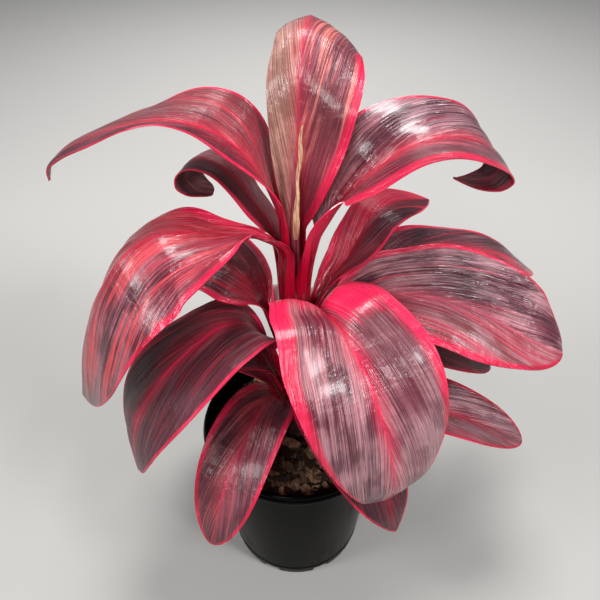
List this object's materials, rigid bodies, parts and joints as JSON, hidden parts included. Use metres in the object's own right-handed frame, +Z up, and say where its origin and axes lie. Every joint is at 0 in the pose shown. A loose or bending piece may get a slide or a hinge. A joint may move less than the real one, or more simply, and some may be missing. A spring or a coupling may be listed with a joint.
{
  "type": "potted ti plant",
  "caption": "Red and dark purple ti plant on one upright cane, its broad arching leaves standing in a round black nursery pot filled with bark potting mix.",
  "frame": {"origin": "centre of the pot's flat underside, on the floor", "axes": "+Z up along the pot's axis, +X to the viewer's right in the picture, +Y away from the viewer"},
  "size_m": [0.3647, 0.2746, 0.479],
  "materials": {
    "pot": "satin",
    "soil": "matte",
    "cane": "matte",
    "leaf": "satin",
    "young_leaf": "satin",
    "dry_strip": "matte"
  },
  "bodies": {
    "root": {"pot": "pot", "soil": "soil", "cane": "cane", "leaf_top_centre": "leaf", "leaf_upper_left": "leaf", "leaf_curled_small": "leaf", "leaf_upper_right": "leaf", "leaf_right_folded": "leaf", "leaf_right_back": "leaf", "leaf_right_large": "leaf", "leaf_front_large": "leaf", "leaf_left_large": "leaf", "leaf_left_lower": "leaf", "leaf_front_lower": "leaf", "leaf_right_lower": "leaf", "leaf_front_under": "leaf", "leaf_right_under": "leaf", "leaf_left_middle": "leaf", "leaf_left_under": "leaf", "leaf_back_right": "leaf", "leaf_back": "leaf", "leaf_back_left": "leaf", "young_leaf": "young_leaf", "dry_strip": "dry_strip"}
  },
  "joints": []
}
